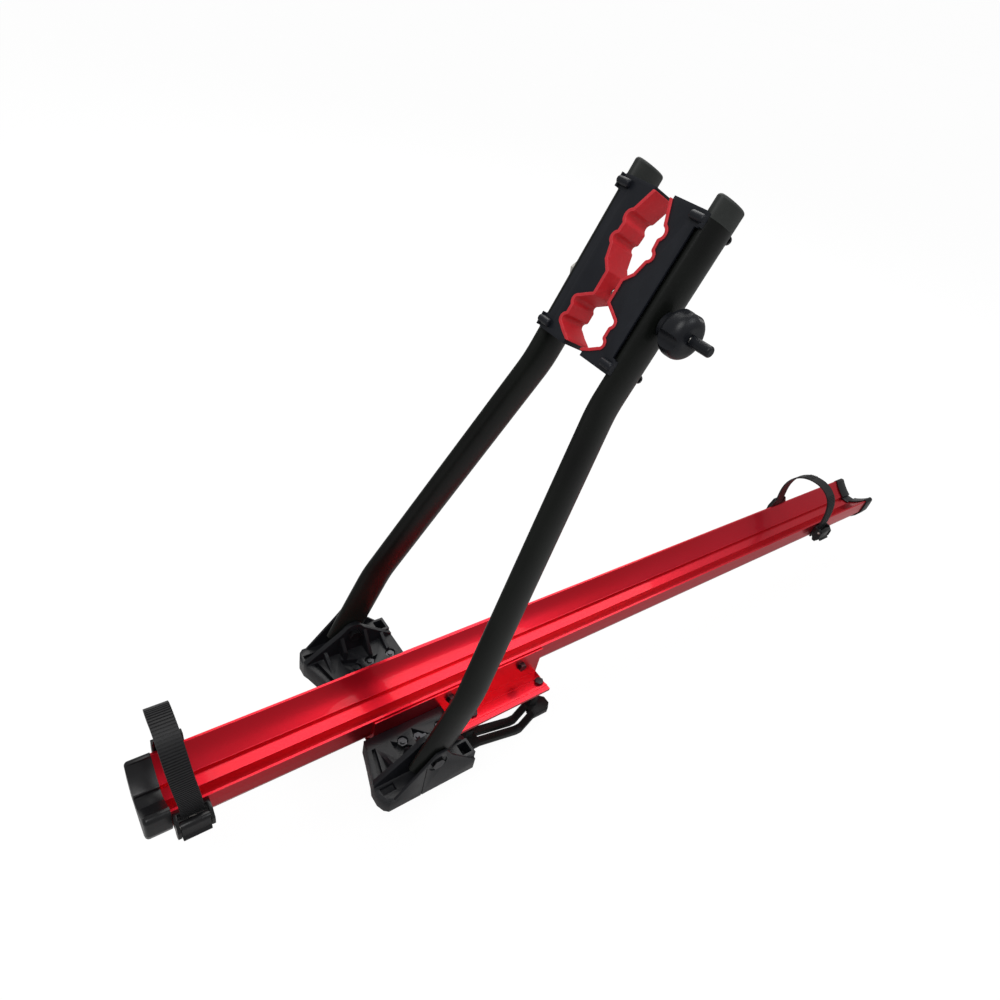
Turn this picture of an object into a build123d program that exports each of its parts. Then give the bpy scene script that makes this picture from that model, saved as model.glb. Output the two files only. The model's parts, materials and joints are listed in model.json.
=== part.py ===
"""Roof mounted bike carrier: wheel channel, clamp base, folding arms and frame clamp.

Millimetres, +Z up. The origin is the middle of the seat that rests on the roof
bar, +X runs along the channel to its rear end, and the clamp knob is on -Y.
"""
import os
from math import cos, radians, sin

from build123d import *

# Wheel channel
channel_length = 1300.0        # end caps included
seat_to_front = 430.0          # roof bar seat to the front cap's face
lip_height = 51.0              # channel lips above the seat
lip_half = 34.5                # half of the channel's outer width at the lips
lip_land = 2.5                 # flat land on each lip
channel_wall = 2.0
channel_depth = 42.5
side_drop = 24.0               # straight outer side below the lip
side_draft = 0.5
haunch_drop = 35.0
haunch_half = 29.0
sole_half = 23.0
trough_mid_half = 20.9
trough_mid_drop = 11.8
step_half = 9.0
step_drop = 20.4
floor_half = 8.7
floor_drop = 24.6
cavity_top_gap = 3.4           # solid lip above the hollow

# End caps
cap_length = 24.0
cap_wall = 2.0
cap_end = 5.0
cap_gap = 0.2
cap_corner = 5.0
cap_edge_round = 4.0

# Base profile, an extrusion that cradles the channel
base_front_x = -196.0
base_length = 239.0
cradle_gap = 0.3
cradle_wall = 2.0
cradle_top_drop = 2.5          # cradle top edge below the channel lip
flange_half = 68.0
flange_thick = 4.0
skin = 2.0                     # walls round the base's hollow chambers
groove_width = 10.4            # holds the hex heads from turning
groove_depth = 0.8
ridge_gap = 3.0                # groove to ridge
ridge_width = 1.4
ridge_height = 0.7

# Side bolts that hold the channel in the cradle
side_bolt_shares = (0.865, 0.42)
side_bolt_height = 33.0        # above the seat
m6_radius = 3.0
m6_head = 10.0                 # across flats
m6_head_height = 4.0
m6_washer_radius = 6.0
m6_washer_thick = 1.2
hole_gap = 0.3
side_bolt_reach = 12.0
rivet_nut_radius = 4.5
rivet_nut_length = 8.0

# Feet
foot_front_x = -223.0
foot_length = 115.0
foot_outer = 112.9
foot_inner_edge = 37.4
foot_inner_wall = 6.0
foot_height = 68.0             # pivot boss top above the flange
foot_floor = 18.0              # slot floor above the flange
bridge_height = 22.0
foot_boss_radius = 14.0
foot_round = 5.0
rib_thick = 4.0
rib_reach = 24.0               # how far the ribs run down the bridge
rib_shares = ((0.2, 0.5), (0.38, 0.75), (0.64, 0.78), (0.85, 0.5))
pocket_depth = 7.0
pocket_shares = (
    ((0.35, 0.29), (0.52, 0.63), (0.35, 0.79)),
    ((0.6, 0.2), (0.74, 0.56), (0.57, 0.5)),
    ((0.15, 0.29), (0.19, 0.29), (0.13, 0.96), (0.08, 0.96)),
)
outer_wall_shares = (
    (0.043, 0.0), (0.043, 0.147), (0.096, 0.235), (0.409, 0.824), (0.496, 1.0),
    (0.6, 1.0), (0.687, 0.765), (1.0, 0.235), (1.0, 0.0),
)
inner_wall_shares = (
    (0.0, 0.0), (0.0, 0.338), (0.374, 0.779), (0.478, 0.926),
    (0.57, 0.926), (0.687, 0.76), (0.89, 0.48), (1.0, 0.36), (1.0, 0.0),
)
foot_plan_shares = (
    (0.13, 0.0), (0.096, 0.2), (0.058, 0.4), (0.026, 0.57),
    (0.0, 0.67), (0.0, 0.84), (0.03, 0.95), (0.07, 1.0), (1.0, 1.0), (1.0, 0.0),
)
foot_bolt_radius = 3.0
foot_bolt_shares = ((0.461, 0.26), (0.626, 0.29), (0.87, 0.29))
foot_head_radius = 4.8         # flush heads under the flange
foot_head_thick = 1.6
foot_head_sink = 0.2           # heads above the roof bar
foot_nut_height = 5.0
foot_bolt_tip = 1.5            # bolt above its nut
stop_length = 26.0             # raised block behind the arm
stop_lift = 10.0
stop_recess = 12.0
stop_wall = 3.0                # left round the recess
recess_length = 16.0
recess_width = 9.0
recess_depth = 5.0
seam_width = 1.0
ring_width = 3.0
ring_depth = 1.2

# Arms: oval tubes that lean towards the rear and fold down over the channel
lean_degrees = 23.2
pivot_x = -162.3
pivot_height = 54.5
arm_low_y = 100.5
arm_top_y = 48.7
tube_half_deep = 21.0          # along the folding plane
tube_half_wide = 9.0
tube_wall = 1.8
arm_heel = 18.5                # tube below the pivot
bend_low = 81.5
bend_top = 398.5
tube_top_drop = 3.0            # tube's end below the clamp's top
bend_radius = 160.0
arm_side_gap = 0.8
pivot_bolt_radius = 4.0
pivot_sleeve_wall = 2.2
pivot_gap = 0.05               # left arm, folding only
pivot_tilt_gap = 0.3           # right arm, which also tilts
pivot_head_height = 3.2
pivot_nut_height = 6.5
plug_height = 20.0
plug_dome = 3.2
plug_skirt = 14.0
plug_gap = 0.2

# Frame clamp: two shells with rubber jaws, drawn together by a rod and knob
clamp_bottom = 429.5
clamp_top = 582.5
tube_top = clamp_top - tube_top_drop
clamp_front = 23.9             # front face ahead of the arm plane
face_thick = 2.7
face_outer = 48.5
face_notch = 3.4
notch_end = 15.0
shell_back = 8.5
shell_side_gap = 0.4
jaw_thick = 3.0
jaw_proud = 1.0
jaw_low_inset = 4.5
jaw_high_inset = 3.0
jaw_bottom = clamp_bottom + jaw_low_inset
jaw_top = clamp_top - jaw_high_inset
jaw_half = 31.5
# The jaw's outline, from its top lip to its bottom lip, as shares of half width and height
jaw_top_lip_share = (0.365, 1.0)
jaw_lobe_shares = (
    ((0.651, 0.863), (0.825, 0.811), (0.724, 0.763)),
    ((0.746, 0.711), (0.873, 0.670), (0.746, 0.625)),
)
jaw_neck_shares = ((0.619, 0.533), (0.36, 0.474), (0.36, 0.333), (0.619, 0.302))
jaw_low_lobe_shares = (
    ((0.810, 0.278), (0.952, 0.237), (0.873, 0.199)),
    ((0.873, 0.144), (1.0, 0.103), (0.857, 0.058)),
)
jaw_bottom_shares = ((0.635, 0.027), (0.381, 0.0))
jaw_wall_shift = 0.5
corner_pin_radius = 3.8
corner_pin_length = 15.0
corner_pin_y = 44.5
corner_pin_lift = 1.7
corner_pin_inset = 7.5
ear_width = 3.2
ear_half = 6.5
ear_lift = 2.6
ear_thick = 2.0
screw_radius = 2.5
screw_gap = 0.3
screw_head_radius = 4.4
screw_head_height = 3.6
rod_share = 0.3987              # rod's place up the clamp
rod_height = clamp_bottom + rod_share * (clamp_top - clamp_bottom)
rod_forward = 2.0
rod_radius = 4.0
rod_swing_gap = 2.2
rod_fit = 0.05
rod_tip_y = 112.0
rod_nut_height = 7.0
rod_nut_flats = 13.0
rod_cap_wall = 1.1
rod_cap_length = 21.0
rod_cap_gap = 0.05
rod_washer_radius = 9.0
rod_washer_thick = 1.6
washer_gap = 1.1
knob_radius = 21.5
knob_length = 25.0
knob_hub_radius = 12.0
knob_hub_length = 6.0
knob_round = 10.5
knob_lobes = 3
knob_scoop_radius = 9.0
knob_scoop_at = 25.5
knob_clear = 0.3
insert_radius = 7.0
insert_length = 14.0
insert_bore_gap = 0.95

# Wheel straps with buckles
strap_width = 21.5
strap_thick = 2.2
strap_gap = 0.4                # from the channel's side to the band
front_strap_inset = 41.5       # strap's middle from the channel's front end
rear_strap_inset = 180.0       # buckle's middle from the channel's rear end
front_arch_shares = (
    (0.0, 0.07, 1.01), (-0.16, 0.4, 1.0), (-0.3, 0.75, 0.83), (-0.37, 0.95, 0.39),
    (-0.4, 1.0, -0.14), (-0.37, 0.9, -0.67), (-0.3, 0.66, -0.98), (-0.15, 0.33, -1.1),
)
rear_arch_shares = (
    (-1.675, 0.074, 1.0), (-1.86, 0.368, 1.0), (-2.0, 0.694, 0.7), (-1.907, 0.83, 0.22),
    (-1.488, 0.82, -0.28), (-0.837, 0.683, -0.7), (-0.279, 0.42, -1.0),
)
strap_stations = 36            # sections along each band
strap_rise = 97.0              # front arch above the lips
strap_half = 36.0              # arch to each side of the middle
root_drop = 12.5               # band's anchored end below the lip
front_anchor_width = 30.0
rear_anchor_width = 46.0
anchor_top_width = 29.0
anchor_thick = 3.0
anchor_rise = 12.0
anchor_rivet_radius = 2.5
tail_gap = 0.4
buckle_width = 34.0
buckle_thick = 2.6
buckle_cheek = 3.2
buckle_height = 25.0
buckle_top = 5.0               # below the lips
cheek_reach = 15.0
lever_gap = 0.4
lever_length = 14.0
lever_tip = 3.0
lever_hub = 4.6
lever_pin_radius = 2.0
lever_pin_gap = 0.05
lever_pin_drop = 6.5
lever_pin_reach = 9.6
rivet_head_radius = 4.2
rivet_head_height = 1.4

# Roof bar clamps, one under each flange
clamp_bolt_y = 53.0
clamp_bolt_span = 104.0
clamp_bolt_rear_x = 36.0
bar_clamp_y = 59.0
bar_clamp_width = 24.0
bar_clamp_slot = 5.2
bar_clamp_thick = 8.0
bar_clamp_end = 39.0           # top face of the ends below the seat
bar_clamp_dip = 20.0           # the V's floor below its ends
bar_clamp_flat = 8.0
bar_clamp_middle_x = 8.0
bar_clamp_front_reach = 7.0
bar_clamp_rear_reach = 21.0
bar_clamp_corner = 7.0         # cut corners of the rear end
bar_clamp_boss_radius = 6.5
bar_clamp_boss_height = 15.0
bar_clamp_land = 9.0           # flat of each end inside its bolt
slot_end_gap = 1.0
clamp_gap = 0.3
lock_nut_height = 6.0
thread_tail = 8.0
thread_relief = 0.5

overrun = 5.0
front_x = -seat_to_front
rear_x = channel_length - seat_to_front
lip_z = lip_height
full_turn = 360.0


def prism(points, low, high, axis):
    """Extrude an outline along X, Y or Z; the outline's points are full places."""
    face = make_face(Polyline(*points, close=True))
    direction = {"x": (1, 0, 0), "y": (0, 1, 0), "z": (0, 0, 1)}[axis]
    shift = tuple(low * part for part in direction)
    return Pos(*shift) * extrude(face, high - low, dir=direction)


def slab_x(outline, low, high):
    """Outline of (y, z) points, extruded along X."""
    return prism([(0, y, z) for y, z in outline], low, high, "x")


def slab_y(outline, low, high):
    """Outline of (x, z) points, extruded along Y."""
    return prism([(x, 0, z) for x, z in outline], low, high, "y")


def slab_z(outline, low, high):
    """Outline of (x, y) points, extruded along Z."""
    return prism([(x, y, 0) for x, y in outline], low, high, "z")


def block(x_range, y_range, z_range):
    """Box between two corners, given as ranges."""
    size = [high - low for low, high in (x_range, y_range, z_range)]
    middle = [(high + low) / 2 for low, high in (x_range, y_range, z_range)]
    return Pos(*middle) * Box(*size)


def rod_along(axis, radius, start, length):
    """Round bar from a start point along +X, +Y or +Z."""
    turn = {"x": (0, 90, 0), "y": (-90, 0, 0), "z": (0, 0, 0)}[axis]
    bar = Cylinder(radius, length, align=(Align.CENTER, Align.CENTER, Align.MIN))
    return Pos(*start) * Rot(*turn) * bar


def hex_along(axis, flats, start, length):
    """Hexagonal bar from a start point along +X, +Y or +Z."""
    turn = {"x": (0, 90, 0), "y": (-90, 0, 0), "z": (0, 0, 0)}[axis]
    face = RegularPolygon(flats / 2, 6, major_radius=False)
    return Pos(*start) * Rot(*turn) * extrude(face, length)


def mirrored(shape):
    return mirror(shape, about=Plane.XZ)


def both_sides(shapes):
    """A group of solids and their mirror images."""
    return list(shapes) + [mirrored(shape) for shape in shapes]


def write(name, shape):
    """Write one node; a list is written as a group of separate solids."""
    if isinstance(shape, (list, tuple)):
        shape = Compound(children=[solid for item in shape for solid in item.solids()])
    export_step(shape, f"parts/{name}.step")


# Channel section


def channel_outline(grow):
    """Outer outline of the channel section below its lips, grown by a wall."""
    half = lip_half + grow
    return [
        (half, lip_z),
        (half, lip_z - side_drop / 2),
        (half - side_draft, lip_z - side_drop),
        (haunch_half + grow, lip_z - haunch_drop - grow / 2),
        (sole_half + grow / 2, lip_z - channel_depth - grow),
        (-sole_half - grow / 2, lip_z - channel_depth - grow),
        (-haunch_half - grow, lip_z - haunch_drop - grow / 2),
        (-half + side_draft, lip_z - side_drop),
        (-half, lip_z - side_drop / 2),
        (-half, lip_z),
    ]


def trough_face(inset, top):
    """Face of the open trough; an inset makes it narrower and shallower."""
    half = lip_half - lip_land - inset
    mid = (trough_mid_half - inset, lip_z - trough_mid_drop + inset / 2)
    low = (step_half - inset / 2, lip_z - step_drop + inset)
    foot = (floor_half - inset, lip_z - step_drop + inset)
    base = (floor_half - inset, lip_z - floor_drop + inset)
    wall_right = ThreePointArc((half, lip_z), mid, low)
    wall_left = ThreePointArc((-low[0], low[1]), (-mid[0], mid[1]), (-half, lip_z))
    rim = Polyline((-half, lip_z), (-half, lip_z + top), (half, lip_z + top), (half, lip_z))
    floor = Polyline(low, foot, base, (-base[0], base[1]), (-foot[0], foot[1]), (-low[0], low[1]))
    return make_face(wall_right + floor + wall_left + rim)


def along_x(face, low, high):
    """Sweep a section drawn in (y, z) along the channel."""
    plane = Plane(origin=(low, 0, 0), x_dir=(0, 1, 0), z_dir=(1, 0, 0))
    return extrude(plane * face, high - low)


def make_channel():
    shell = make_face(Polyline(*channel_outline(0), close=True))
    hollow = make_face(Polyline(*channel_outline(-channel_wall), close=True))
    hollow -= Pos(0, lip_z) * Rectangle(channel_length, 2 * cavity_top_gap)
    hollow -= trough_face(-channel_wall, overrun)
    section = shell - trough_face(0, overrun) - hollow
    inset = cap_end + cap_gap
    channel = along_x(section, front_x + inset, rear_x - inset)
    for x in side_bolt_xs():
        low = lip_half - channel_wall - overrun
        hole = rod_along("y", rivet_nut_radius, (x, low, side_bolt_height), channel_wall + 2 * overrun)
        channel -= hole + mirrored(hole)
    for root_x, buckle_x in strap_places():
        low = lip_half - channel_wall - overrun
        length = channel_wall + 2 * overrun
        channel -= rod_along("y", anchor_rivet_radius, (root_x, low, rivet_height()), length)
        channel -= mirrored(rod_along("y", anchor_rivet_radius, (buckle_x, low, rivet_height()), length))
    return channel


def make_cap(front):
    """Moulded sleeve over a channel end, open along the trough."""
    outer = make_face(Polyline(*channel_outline(cap_gap + cap_wall), close=True))
    outer += Pos(0, lip_z + cap_wall / 2) * Rectangle(2 * (lip_half + cap_gap + cap_wall), cap_wall)
    outer = fillet(outer.vertices(), cap_corner)
    room = make_face(Polyline(*channel_outline(cap_gap), close=True))
    room += Pos(0, lip_z) * Rectangle(2 * (lip_half + cap_gap), 2 * cap_gap)
    room -= trough_face(cap_gap, overrun)
    sleeve = along_x(outer, front_x, front_x + cap_length)
    sleeve = fillet(sleeve.faces().sort_by(Axis.X)[0].outer_wire().edges(), cap_edge_round)
    trough = trough_face(cap_wall + cap_gap, overrun)
    sleeve -= along_x(trough, front_x - overrun, front_x + cap_length + overrun)
    sleeve -= along_x(room, front_x + cap_end, front_x + cap_length + overrun)
    if front:
        return sleeve
    return Pos(front_x + rear_x, 0, 0) * Rot(0, 0, full_turn / 2) * sleeve


# Base profile


def side_bolt_xs():
    return [base_front_x + share * base_length for share in side_bolt_shares]


def clamp_bolt_xs():
    return (clamp_bolt_rear_x - clamp_bolt_span, clamp_bolt_rear_x)


def foot_bolt_places():
    wide = foot_outer - foot_inner_edge
    return [
        (foot_front_x + along * foot_length, foot_inner_edge + out * wide) for along, out in foot_bolt_shares
    ]


def chamber_outline(side):
    """Hollow of the base on one side, below the channel's haunch."""
    inner = lip_half + cradle_gap + cradle_wall - skin
    floor_top = lip_z - channel_depth - cradle_gap - skin
    points = [
        (skin / 2, skin),
        (inner, skin),
        (inner, lip_z - haunch_drop + skin),
        (haunch_half + skin, lip_z - haunch_drop - skin / 2),
        (sole_half + skin / 2, floor_top),
        (skin / 2, floor_top),
    ]
    return [(side * y, z) for y, z in points]


def make_base():
    half = lip_half + cradle_gap + cradle_wall
    top = lip_z - cradle_top_drop
    right = [(half, top), (half, flange_thick), (flange_half, flange_thick), (flange_half, 0)]
    outline = right + [(-y, z) for y, z in reversed(right)]
    section = make_face(Polyline(*outline, close=True))
    section -= make_face(Polyline(*channel_outline(cradle_gap), close=True))
    section -= Pos(0, lip_z) * Rectangle(2 * (half - cradle_wall), 2 * cradle_top_drop + overrun)
    ridge_at = clamp_bolt_y + groove_width / 2 + ridge_gap
    for side in (-1, 1):
        section -= Pos(side * clamp_bolt_y, flange_thick) * Rectangle(groove_width, 2 * groove_depth)
        section += Pos(side * ridge_at, flange_thick) * Rectangle(ridge_width, 2 * ridge_height)
        section -= make_face(Polyline(*chamber_outline(side), close=True))
    base = along_x(section, base_front_x, base_front_x + base_length)
    for x in side_bolt_xs():
        start = (x, -half - overrun, side_bolt_height)
        base -= rod_along("y", m6_radius + hole_gap, start, 2 * (half + overrun))
    for side in (-1, 1):
        for x in clamp_bolt_xs():
            base -= through_flange(x, side * clamp_bolt_y, m6_radius + hole_gap)
        for x, y in foot_bolt_places():
            base -= through_flange(x, side * y, foot_bolt_radius + hole_gap)
            depth = foot_head_sink + foot_head_thick
            base -= rod_along("z", foot_head_radius + hole_gap, (x, side * y, -overrun), depth + overrun)
    return base


def through_flange(x, y, radius):
    return rod_along("z", radius, (x, y, -overrun), flange_thick + 2 * overrun)


def make_side_bolts():
    """Washer-faced hex bolts in the cradle walls, and the rivet nuts they enter."""
    wall = lip_half + cradle_gap + cradle_wall
    bolts, nuts = [], []
    for x in side_bolt_xs():
        z = side_bolt_height
        bolt = rod_along("y", m6_radius, (x, wall - side_bolt_reach, z), side_bolt_reach)
        bolt += rod_along("y", m6_washer_radius, (x, wall, z), m6_washer_thick)
        bolt += hex_along("y", m6_head, (x, wall + m6_washer_thick, z), m6_head_height)
        bolts.append(bolt)
        low = lip_half - side_draft - rivet_nut_length
        nut = rod_along("y", rivet_nut_radius, (x, low, z), rivet_nut_length)
        nut -= rod_along("y", m6_radius, (x, low, z), rivet_nut_length)
        nuts.append(nut)
    return both_sides(bolts), both_sides(nuts)


# Feet, drawn for the +Y side


def foot_wall(shares, y_low, y_high):
    """Side wall of a foot from its share table."""
    base = flange_thick
    outline = [(foot_front_x + along * foot_length, base + up * foot_height) for along, up in shares]
    return slab_y(outline, y_low, y_high)


def foot_plan(shares, low, high, inner=foot_inner_edge, outer=foot_outer):
    """Plan outline of a foot from its share table, extruded up."""
    outline = [(foot_front_x + along * foot_length, inner + out * (outer - inner)) for along, out in shares]
    return slab_z(outline, low, high)


def slot_walls():
    inner = arm_low_y - tube_half_wide - arm_side_gap
    outer = arm_low_y + tube_half_wide + arm_side_gap
    return inner - foot_inner_wall, inner, outer


def make_foot():
    base = flange_thick
    front = foot_front_x
    rear = front + foot_length
    wall_inner, slot_inner, slot_outer = slot_walls()
    foot = foot_plan(foot_plan_shares, base, base + foot_floor)
    bridge = foot_plan(foot_plan_shares, base, base + bridge_height)
    foot += bridge & block((front, rear), (0, slot_inner), (base, base + bridge_height))
    plan = foot_plan(foot_plan_shares, base, base + foot_height)
    walls = foot_wall(inner_wall_shares, wall_inner, slot_inner)
    walls += foot_wall(outer_wall_shares, slot_outer, foot_outer)
    foot += walls & plan
    for y_low, y_high in ((wall_inner, slot_inner), (slot_outer, foot_outer)):
        boss = rod_along("y", foot_boss_radius, (pivot_x, y_low, pivot_height), y_high - y_low)
        foot += boss
    for rib in foot_ribs(wall_inner):
        foot += rib
    stop_top = base + foot_floor + stop_lift
    foot += block((rear - stop_length, rear), (slot_inner, slot_outer), (base, stop_top))
    foot -= block(
        (rear - stop_wall - stop_recess, rear - stop_wall),
        (slot_inner + stop_wall, slot_outer - stop_wall),
        (base + foot_floor / 2, stop_top + overrun),
    )
    for shares in pocket_shares:
        foot -= foot_plan(shares, base + bridge_height - pocket_depth, base + foot_height, outer=wall_inner)
    nose = front + foot_round
    foot -= block(
        (nose, nose + recess_length),
        (slot_inner + foot_inner_wall / 2, slot_inner + foot_inner_wall / 2 + recess_width),
        (base + foot_floor - recess_depth, base + foot_floor + overrun),
    )
    foot -= block(
        (pivot_x - foot_boss_radius, pivot_x - foot_boss_radius + seam_width),
        (foot_outer - seam_width, foot_outer + overrun),
        (base, pivot_height),
    )
    ring = rod_along(
        "y", foot_boss_radius - ring_width, (pivot_x, foot_outer - ring_depth, pivot_height), overrun
    )
    foot -= ring
    start = (pivot_x, foot_inner_edge, pivot_height)
    foot -= rod_along("y", pivot_bolt_radius + hole_gap / 2, start, foot_outer)
    for x, y in foot_bolt_places():
        foot -= rod_along("z", foot_bolt_radius + hole_gap, (x, y, base - overrun), foot_height + overrun)
        top = base + bridge_height - pocket_depth
        foot -= rod_along("z", m6_washer_radius + hole_gap, (x, y, top), foot_height)
    ridge_at = clamp_bolt_y + groove_width / 2 + ridge_gap
    rim = ridge_width / 2 + hole_gap
    foot -= block((front, rear), (ridge_at - rim, ridge_at + rim), (0, base + ridge_height + hole_gap))
    bolt_room = cradle_side() + m6_washer_thick + m6_head_height + hole_gap
    for x in side_bolt_xs():
        start = (x, 0, side_bolt_height)
        foot -= rod_along("y", m6_washer_radius + hole_gap, start, bolt_room)
    return foot


def cradle_side():
    return lip_half + cradle_gap + cradle_wall


def foot_ribs(wall_inner):
    """Sloping ribs from the inner wall down to the bridge, clear of the pockets."""
    low = flange_thick + bridge_height - rib_thick
    ribs = []
    for along, up in rib_shares:
        x = foot_front_x + along * foot_length
        top = flange_thick + up * foot_height
        outline = [
            (wall_inner + skin, low),
            (wall_inner - rib_reach, low),
            (wall_inner - rib_reach, low + rib_thick),
            (wall_inner + skin, top),
        ]
        ribs.append(slab_x(outline, x, x + rib_thick))
    return ribs


def make_foot_bolts():
    """Bolts with flush heads under the flange, and the nuts in the foot's pockets."""
    bolts, nuts = [], []
    seat = flange_thick + bridge_height - pocket_depth
    for x, y in foot_bolt_places():
        low = (x, y, foot_head_sink)
        top = seat + foot_nut_height + foot_bolt_tip
        bolt = rod_along("z", foot_bolt_radius, low, top - foot_head_sink)
        bolts.append(bolt + rod_along("z", foot_head_radius, low, foot_head_thick))
        nut = hex_along("z", m6_head, (x, y, seat), foot_nut_height)
        nuts.append(nut - rod_along("z", foot_bolt_radius, (x, y, seat), foot_nut_height))
    return both_sides(bolts), both_sides(nuts)


def make_pivot_hardware():
    wall_inner, slot_inner, slot_outer = slot_walls()
    seat = foot_outer - ring_depth
    low = wall_inner - pivot_nut_height
    bolt = rod_along("y", pivot_bolt_radius, (pivot_x, low, pivot_height), seat - low)
    bolt += hex_along("y", rod_nut_flats, (pivot_x, seat, pivot_height), pivot_head_height)
    nut = hex_along("y", rod_nut_flats, (pivot_x, low, pivot_height), pivot_nut_height)
    nut -= rod_along("y", pivot_bolt_radius, (pivot_x, low, pivot_height), pivot_nut_height)
    return both_sides([bolt]), both_sides([nut])


# Arms and clamp, drawn in the arm frame: x ahead or behind, y across, z along the arm


lean = radians(lean_degrees)
arm_frame = Plane(
    origin=(pivot_x, 0, pivot_height), x_dir=(cos(lean), 0, -sin(lean)), z_dir=(sin(lean), 0, cos(lean))
).location


def place(shape):
    return arm_frame * shape


def across(radius, y_from, y_to, at, forward=0.0):
    """Round bar across the arms, from one y to another."""
    return rod_along("y", radius, (-forward, min(y_from, y_to), at), abs(y_to - y_from))


def oval(half_deep, half_wide):
    return Ellipse(half_deep, half_wide)


def tube_path():
    points = [
        (0, arm_low_y, -arm_heel),
        (0, arm_low_y, bend_low),
        (0, arm_top_y, bend_top),
        (0, arm_top_y, tube_top),
    ]
    return FilletPolyline(*points, radius=bend_radius)


def rod_hole(tilts):
    """Radius of the rod's hole: close on the fixed side, wide where the arm tilts."""
    return rod_radius + (rod_swing_gap if tilts else rod_fit)


def screw_bar(radius, x_from, x_to, at):
    """Round bar along the arm frame's x, through the middle of the tube."""
    return rod_along("x", radius, (x_from, arm_top_y, at), x_to - x_from)


def make_arm(tilts):
    path = tube_path()
    start = Plane(origin=(0, arm_low_y, -arm_heel), x_dir=(1, 0, 0), z_dir=(0, 0, 1))
    outer = oval(tube_half_deep, tube_half_wide)
    inner = oval(tube_half_deep - tube_wall, tube_half_wide - tube_wall)
    arm = sweep(start * (outer - inner), path=path)
    reach = tube_half_wide + overrun
    arm -= across(sleeve_radius(tilts), arm_low_y - reach, arm_low_y + reach, 0)
    arm -= across(rod_hole(tilts), arm_top_y - reach, arm_top_y + reach, rod_height, rod_forward)
    for at in corner_pin_heights():
        arm -= screw_bar(screw_radius + screw_gap, -clamp_front, clamp_front, at)
    return arm


def pivot_bore(tilts):
    return pivot_bolt_radius + (pivot_tilt_gap if tilts else pivot_gap)


def sleeve_radius(tilts):
    return pivot_bore(tilts) + pivot_sleeve_wall


def make_pivot_sleeve(tilts):
    low, high = arm_low_y - tube_half_wide, arm_low_y + tube_half_wide
    sleeve = across(sleeve_radius(tilts), low, high, 0)
    return sleeve - across(pivot_bore(tilts), low - overrun, high + overrun, 0)


def make_plug():
    """Moulded end plug: a skirt inside the tube and a domed head outside it."""
    seat = Pos(0, arm_top_y, tube_top)
    head = extrude(oval(tube_half_deep, tube_half_wide), plug_height)
    head = fillet(head.edges().sort_by(Axis.Z)[-1], plug_dome)
    skirt_deep = tube_half_deep - tube_wall - plug_gap
    skirt_wide = tube_half_wide - tube_wall - plug_gap
    skirt = extrude(oval(skirt_deep, skirt_wide), -plug_skirt)
    skirt -= extrude(oval(skirt_deep - tube_wall, skirt_wide - tube_wall), -plug_skirt)
    plug = seat * (head + skirt)
    for at in corner_pin_heights():
        plug -= screw_bar(screw_radius + screw_gap, -clamp_front, clamp_front, at)
    return plug


def jaw_point(share):
    return (share[0] * jaw_half, jaw_bottom + share[1] * (jaw_top - jaw_bottom))


def jaw_line():
    """Outer line of the rubber jaw in (y, along arm), lobes as arcs."""
    pieces = []
    last = jaw_point(jaw_top_lip_share)
    for lobes, after in ((jaw_lobe_shares, jaw_neck_shares), (jaw_low_lobe_shares, jaw_bottom_shares)):
        for lobe in lobes:
            start, top, end = [jaw_point(share) for share in lobe]
            pieces.append(Line(last, start))
            pieces.append(ThreePointArc(start, top, end))
            last = end
        for share in after:
            point = jaw_point(share)
            pieces.append(Line(last, point))
            last = point
    return pieces, last


def jaw_room():
    """Face between the jaw's outer line and the middle plane, in (y, along arm)."""
    pieces, last = jaw_line()
    first = jaw_point(jaw_top_lip_share)
    low, high = clamp_bottom - overrun, clamp_top + overrun
    corners = [(last[0], low), (-jaw_half, low), (-jaw_half, high), (first[0], high)]
    pieces.append(Polyline(last, *corners, first))
    return make_face(Curve() + pieces)


def across_face(face, x_low, x_high):
    """Extrude a face drawn in (y, along arm) through the arm frame's x range."""
    plane = Plane(origin=(x_low, 0, 0), x_dir=(0, 1, 0), z_dir=(1, 0, 0))
    return extrude(plane * face, x_high - x_low)


def make_jaw(tilts):
    room = jaw_room()
    inner = offset(room, -jaw_thick, kind=Kind.ARC)
    skin = room - inner
    window = Pos(jaw_half / 2 + jaw_wall_shift, (jaw_top + jaw_bottom) / 2) * Rectangle(
        jaw_half, jaw_top - jaw_bottom
    )
    skin = skin & window
    jaw = across_face(skin, -clamp_front - jaw_proud, shell_back)
    return jaw - across(rod_hole(tilts), 0, arm_top_y, rod_height, rod_forward)


def corner_pin_heights():
    return (clamp_top - corner_pin_inset, clamp_bottom + corner_pin_inset)


def make_corner_pins():
    pins = []
    forward = clamp_front + corner_pin_lift
    for at in corner_pin_heights():
        low = corner_pin_y - corner_pin_length / 2
        pin = across(corner_pin_radius, low, low + corner_pin_length, at, forward)
        pin = fillet(pin.edges().filter_by(GeomType.CIRCLE), corner_pin_radius / 2)
        pins.append(pin - screw_bar(screw_radius, -forward, 0, at))
    return pins


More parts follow.
